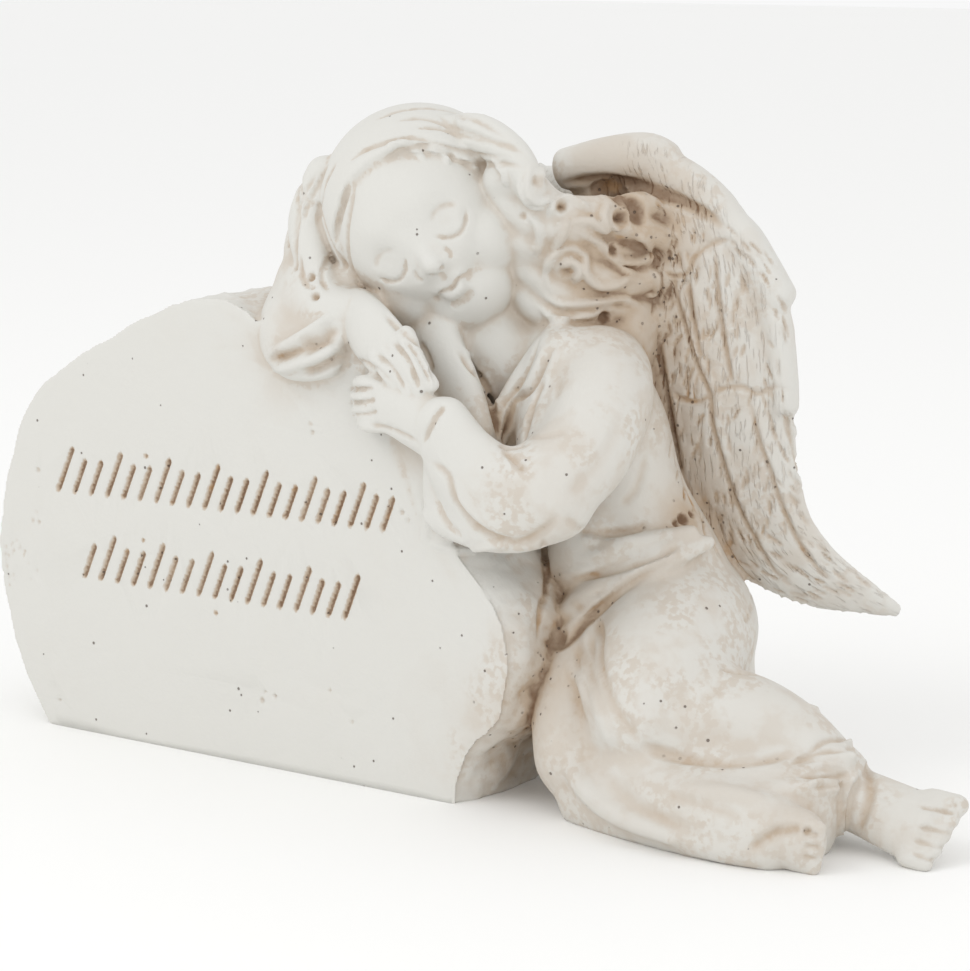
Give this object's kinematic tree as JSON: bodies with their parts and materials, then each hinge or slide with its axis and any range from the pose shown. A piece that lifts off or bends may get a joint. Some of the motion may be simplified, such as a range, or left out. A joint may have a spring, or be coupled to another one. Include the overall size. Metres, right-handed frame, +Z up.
{
  "type": "cemetery angel statue",
  "caption": "Cast memorial figure of a sleeping winged child that leans on an upright boulder slab with a flat inscription face.",
  "frame": {"origin": "middle of the underside of the whole part's box, on the ground plane", "axes": "+Z up; the slab's flat inscription face looks along -Y; +X runs along the slab from its free end towards the child's feet"},
  "size_m": [0.2911, 0.0948, 0.1768],
  "materials": {
    "cast_stone": "matte"
  },
  "bodies": {
    "root": {"angel_on_stone": "cast_stone"}
  },
  "joints": []
}
